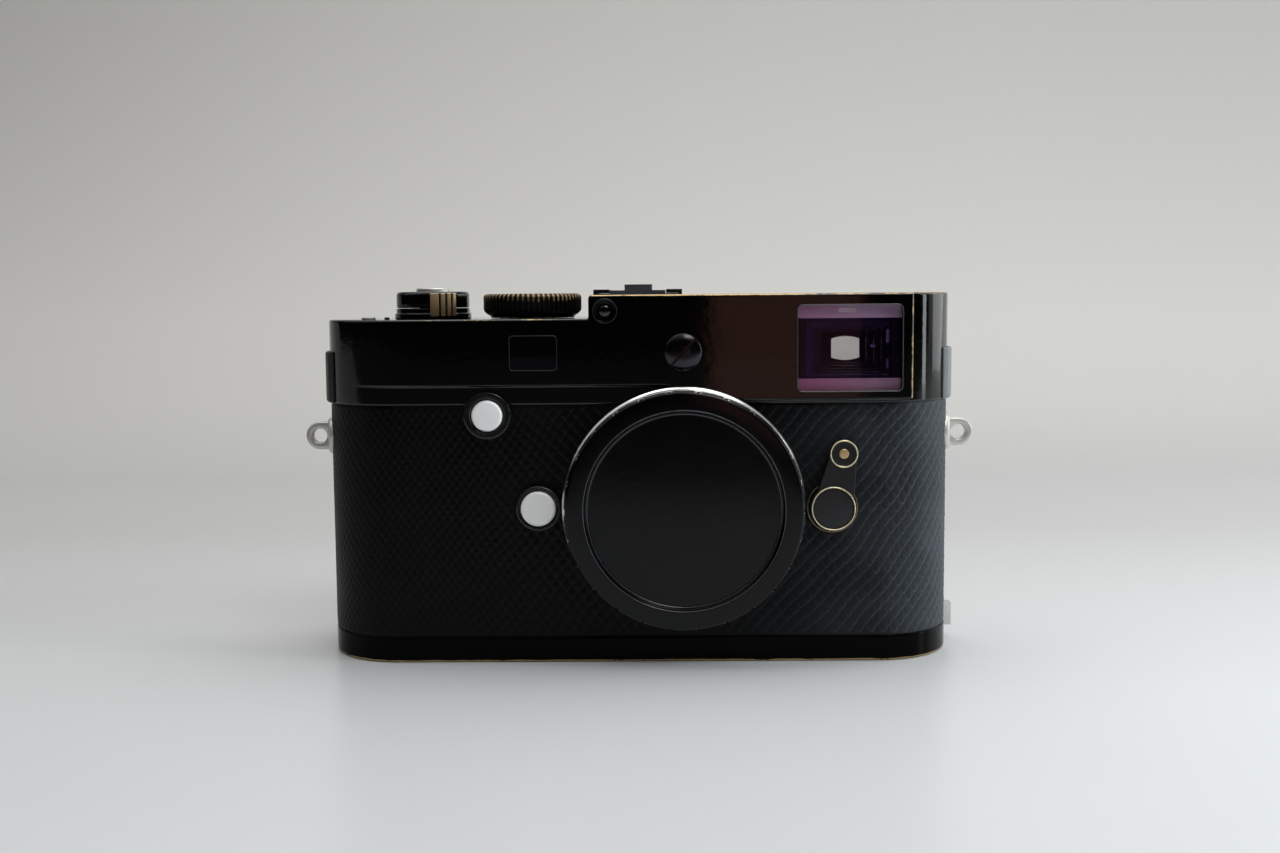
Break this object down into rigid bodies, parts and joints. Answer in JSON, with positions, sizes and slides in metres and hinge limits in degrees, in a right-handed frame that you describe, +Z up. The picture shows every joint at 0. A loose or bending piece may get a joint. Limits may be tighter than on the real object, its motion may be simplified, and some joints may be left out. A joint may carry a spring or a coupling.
{
  "type": "rangefinder camera",
  "caption": "Digital rangefinder camera body with round ends, stepped top plate, embossed leather, viewfinder windows, dials, a body cap and a removable base.",
  "frame": {"origin": "mouth of the tripod socket, at the centre of the underside", "axes": "+X towards the viewfinder end, seen on the right from the front; +Y to the rear; +Z up"},
  "size_m": [0.1498, 0.0435, 0.0821],
  "materials": {
    "black_enamel": "high-gloss black enamel over brass, brass showing where the edges are worn",
    "black_metal": "satin black enamel with brass worn through on the teeth and rims",
    "leather": "black leather with a lizard-like scale embossing and soft sheen",
    "frame_metal": "dark anodised cast alloy",
    "bright_steel": "polished chromed steel",
    "satin_steel": "fine turned steel",
    "gilt_brass": "bright brass",
    "clear_glass": "coated optical glass",
    "violet_glass": "violet anti-reflection coating",
    "dark_glass": "dark cover glass",
    "matte_black": "fine-grained matte black plastic",
    "rubber_black": "matte black rubber",
    "cap_plastic": "moulded black plastic with a worn rim",
    "gloss_black": "polished black plastic",
    "battery_shell": "moulded shell",
    "card_shell": "blue moulded shell",
    "circuit_board": "green solder mask with dark chips",
    "shutter_metal": "grey coated blade metal"
  },
  "bodies": {
    "camera_body": {"chassis_frame": "frame_metal", "leather_covering": "leather", "top_cover": "black_enamel", "optics_base": "frame_metal", "viewfinder_block": "matte_black", "viewfinder_glass": "violet_glass", "viewfinder_mask": "matte_black", "eyepiece_ring": "black_metal", "eyepiece_lens": "clear_glass", "rangefinder_window": "dark_glass", "light_sensor": "satin_steel", "cover_screw": "bright_steel", "release_collar": "black_metal", "shutter_spring": "satin_steel", "hot_shoe": "satin_steel", "hot_shoe_contacts": "gilt_brass", "lens_mount_ring": "bright_steel", "mount_screws": "satin_steel", "mount_throat": "matte_black", "lens_release_bezel": "black_metal", "focus_bezel": "black_metal", "selector_collar": "black_metal", "strap_lugs": "satin_steel", "side_pads": "rubber_black", "hook_post": "bright_steel", "display_bezel": "matte_black", "display_glass": "dark_glass", "sensor_module": "circuit_board", "main_board": "circuit_board", "shutter_frame": "matte_black"},
    "bottom_cover": {"bottom_cover": "black_enamel", "tripod_socket": "satin_steel"},
    "rangefinder_arm": {"rangefinder_arm": "gilt_brass"},
    "speed_dial": {"speed_dial": "black_metal"},
    "power_switch": {"power_switch": "black_metal"},
    "shutter_button": {"shutter_button": "black_metal"},
    "movie_button": {"movie_button": "gloss_black"},
    "hot_shoe_cover": {"hot_shoe_cover": "matte_black"},
    "lens_lock_pin": {"lens_lock_pin": "bright_steel"},
    "lens_release_button": {"lens_release_button": "bright_steel"},
    "focus_button": {"focus_button": "bright_steel"},
    "selector_lever": {"selector_lever": "black_metal"},
    "body_cap": {"body_cap": "cap_plastic"},
    "cap_bayonet": {"cap_bayonet": "cap_plastic"},
    "live_view_button": {"live_view_button": "gloss_black"},
    "play_button": {"play_button": "gloss_black"},
    "delete_button": {"delete_button": "gloss_black"},
    "iso_button": {"iso_button": "gloss_black"},
    "menu_button": {"menu_button": "gloss_black"},
    "set_button": {"set_button": "gloss_black"},
    "direction_pad": {"direction_pad": "gloss_black"},
    "centre_button": {"centre_button": "gloss_black"},
    "thumb_wheel": {"thumb_wheel": "black_metal"},
    "latch_turnlock": {"latch_turnlock": "bright_steel"},
    "latch_toggle": {"latch_toggle": "bright_steel"},
    "battery": {"battery": "battery_shell"},
    "memory_card": {"memory_card": "card_shell"},
    "shutter_blade_top": {"shutter_blade_top": "shutter_metal"},
    "shutter_blade_middle": {"shutter_blade_middle": "shutter_metal"},
    "shutter_blade_bottom": {"shutter_blade_bottom": "shutter_metal"}
  },
  "joints": [
    {"name": "cap_slide", "type": "slide", "parent": "camera_body", "child": "cap_bayonet", "axis": [0, -1, 0], "range_m": [0, 0.03]},
    {"name": "cap_turn", "type": "hinge", "parent": "cap_bayonet", "child": "body_cap", "pos_m": [0.0099, -0.022, 0.034], "axis": [0, -1, 0], "range_deg": [0, 60]},
    {"name": "lens_release_press", "type": "slide", "parent": "camera_body", "child": "lens_release_button", "axis": [0, 1, 0], "range_m": [0, 0.0012], "stiffness_N_per_m": 500},
    {"name": "lock_pin_retract", "type": "slide", "parent": "camera_body", "child": "lens_lock_pin", "axis": [0, 1, 0], "range_m": [0, 0.0012]},
    {"name": "focus_button_press", "type": "slide", "parent": "camera_body", "child": "focus_button", "axis": [0, 1, 0], "range_m": [0, 0.0005], "stiffness_N_per_m": 500},
    {"name": "frame_selector_turn", "type": "hinge", "parent": "camera_body", "child": "selector_lever", "pos_m": [0.0418, -0.019, 0.0339], "axis": [0, -1, 0], "range_deg": [-18, 22], "stiffness_Nm_per_rad": 0.03},
    {"name": "shutter_press", "type": "slide", "parent": "camera_body", "child": "shutter_button", "axis": [0, 0, -1], "range_m": [0, 0.0016], "stiffness_N_per_m": 500, "deforming": ["shutter_spring"]},
    {"name": "power_switch_turn", "type": "hinge", "parent": "camera_body", "child": "power_switch", "pos_m": [-0.04605, 0, 0.078], "axis": [0, 0, 1], "range_deg": [0, 66]},
    {"name": "speed_dial_turn", "type": "hinge", "parent": "camera_body", "child": "speed_dial", "pos_m": [-0.0236, 0, 0.077], "axis": [0, 0, 1], "continuous": true},
    {"name": "movie_press", "type": "slide", "parent": "camera_body", "child": "movie_button", "axis": [0, 0, -1], "range_m": [0, 0.0005], "stiffness_N_per_m": 500},
    {"name": "shoe_cover_slide", "type": "slide", "parent": "camera_body", "child": "hot_shoe_cover", "axis": [0, 1, 0], "range_m": [0, 0.02]},
    {"name": "thumb_wheel_turn", "type": "hinge", "parent": "camera_body", "child": "thumb_wheel", "pos_m": [-0.046, 0.0122, 0.0672], "axis": [0, 0, 1], "continuous": true},
    {"name": "live_view_press", "type": "slide", "parent": "camera_body", "child": "live_view_button", "axis": [0, -1, 0], "range_m": [0, 0.0005], "stiffness_N_per_m": 500},
    {"name": "play_press", "type": "slide", "parent": "camera_body", "child": "play_button", "axis": [0, -1, 0], "range_m": [0, 0.0005], "stiffness_N_per_m": 500},
    {"name": "delete_press", "type": "slide", "parent": "camera_body", "child": "delete_button", "axis": [0, -1, 0], "range_m": [0, 0.0005], "stiffness_N_per_m": 500},
    {"name": "iso_press", "type": "slide", "parent": "camera_body", "child": "iso_button", "axis": [0, -1, 0], "range_m": [0, 0.0005], "stiffness_N_per_m": 500},
    {"name": "menu_press", "type": "slide", "parent": "camera_body", "child": "menu_button", "axis": [0, -1, 0], "range_m": [0, 0.0005], "stiffness_N_per_m": 500},
    {"name": "set_press", "type": "slide", "parent": "camera_body", "child": "set_button", "axis": [0, -1, 0], "range_m": [0, 0.0005], "stiffness_N_per_m": 500},
    {"name": "direction_pad_tilt", "type": "hinge", "parent": "camera_body", "child": "direction_pad", "pos_m": [-0.046, 0.0171, 0.033], "axis": [0, 0, 1], "range_deg": [-3, 3], "stiffness_Nm_per_rad": 0.05},
    {"name": "centre_press", "type": "slide", "parent": "camera_body", "child": "centre_button", "axis": [0, -1, 0], "range_m": [0, 0.0005], "stiffness_N_per_m": 500},
    {"name": "bottom_cover_slide", "type": "slide", "parent": "camera_body", "child": "bottom_cover", "axis": [0, 0, -1], "range_m": [0, 0.06]},
    {"name": "latch_turn", "type": "hinge", "parent": "bottom_cover", "child": "latch_turnlock", "pos_m": [-0.048, 0, 0.001], "axis": [0, 0, 1], "range_deg": [0, 180]},
    {"name": "latch_handle_flip", "type": "hinge", "parent": "latch_turnlock", "child": "latch_toggle", "pos_m": [-0.048, 0, 0.00068], "axis": [1, 0, 0], "range_deg": [0, 90]},
    {"name": "battery_slide", "type": "slide", "parent": "camera_body", "child": "battery", "axis": [0, 0, -1], "range_m": [0, 0.03]},
    {"name": "memory_card_slide", "type": "slide", "parent": "camera_body", "child": "memory_card", "axis": [0, 0, -1], "range_m": [0, 0.024]},
    {"name": "shutter_run", "type": "slide", "parent": "camera_body", "child": "shutter_blade_top", "axis": [0, 0, -1], "range_m": [0, 0.0255]},
    {"name": "shutter_middle_run", "type": "slide", "parent": "camera_body", "child": "shutter_blade_middle", "axis": [0, 0, -1], "range_m": [0, 0.0175]},
    {"name": "shutter_bottom_run", "type": "slide", "parent": "camera_body", "child": "shutter_blade_bottom", "axis": [0, 0, -1], "range_m": [0, 0.0095]},
    {"name": "rangefinder_arm_swing", "type": "hinge", "parent": "camera_body", "child": "rangefinder_arm", "pos_m": [0.0099, -0.01, 0.068], "axis": [1, 0, 0], "range_deg": [0, 7], "stiffness_Nm_per_rad": 0.01}
  ],
  "couplings": [
    {"joint": "lock_pin_retract", "follows": "lens_release_press", "ratio": 1},
    {"joint": "battery_slide", "follows": "bottom_cover_slide", "ratio": 0.5},
    {"joint": "memory_card_slide", "follows": "bottom_cover_slide", "ratio": 0.4},
    {"joint": "shutter_middle_run", "follows": "shutter_run", "ratio": 0.686},
    {"joint": "shutter_bottom_run", "follows": "shutter_run", "ratio": 0.372}
  ]
}
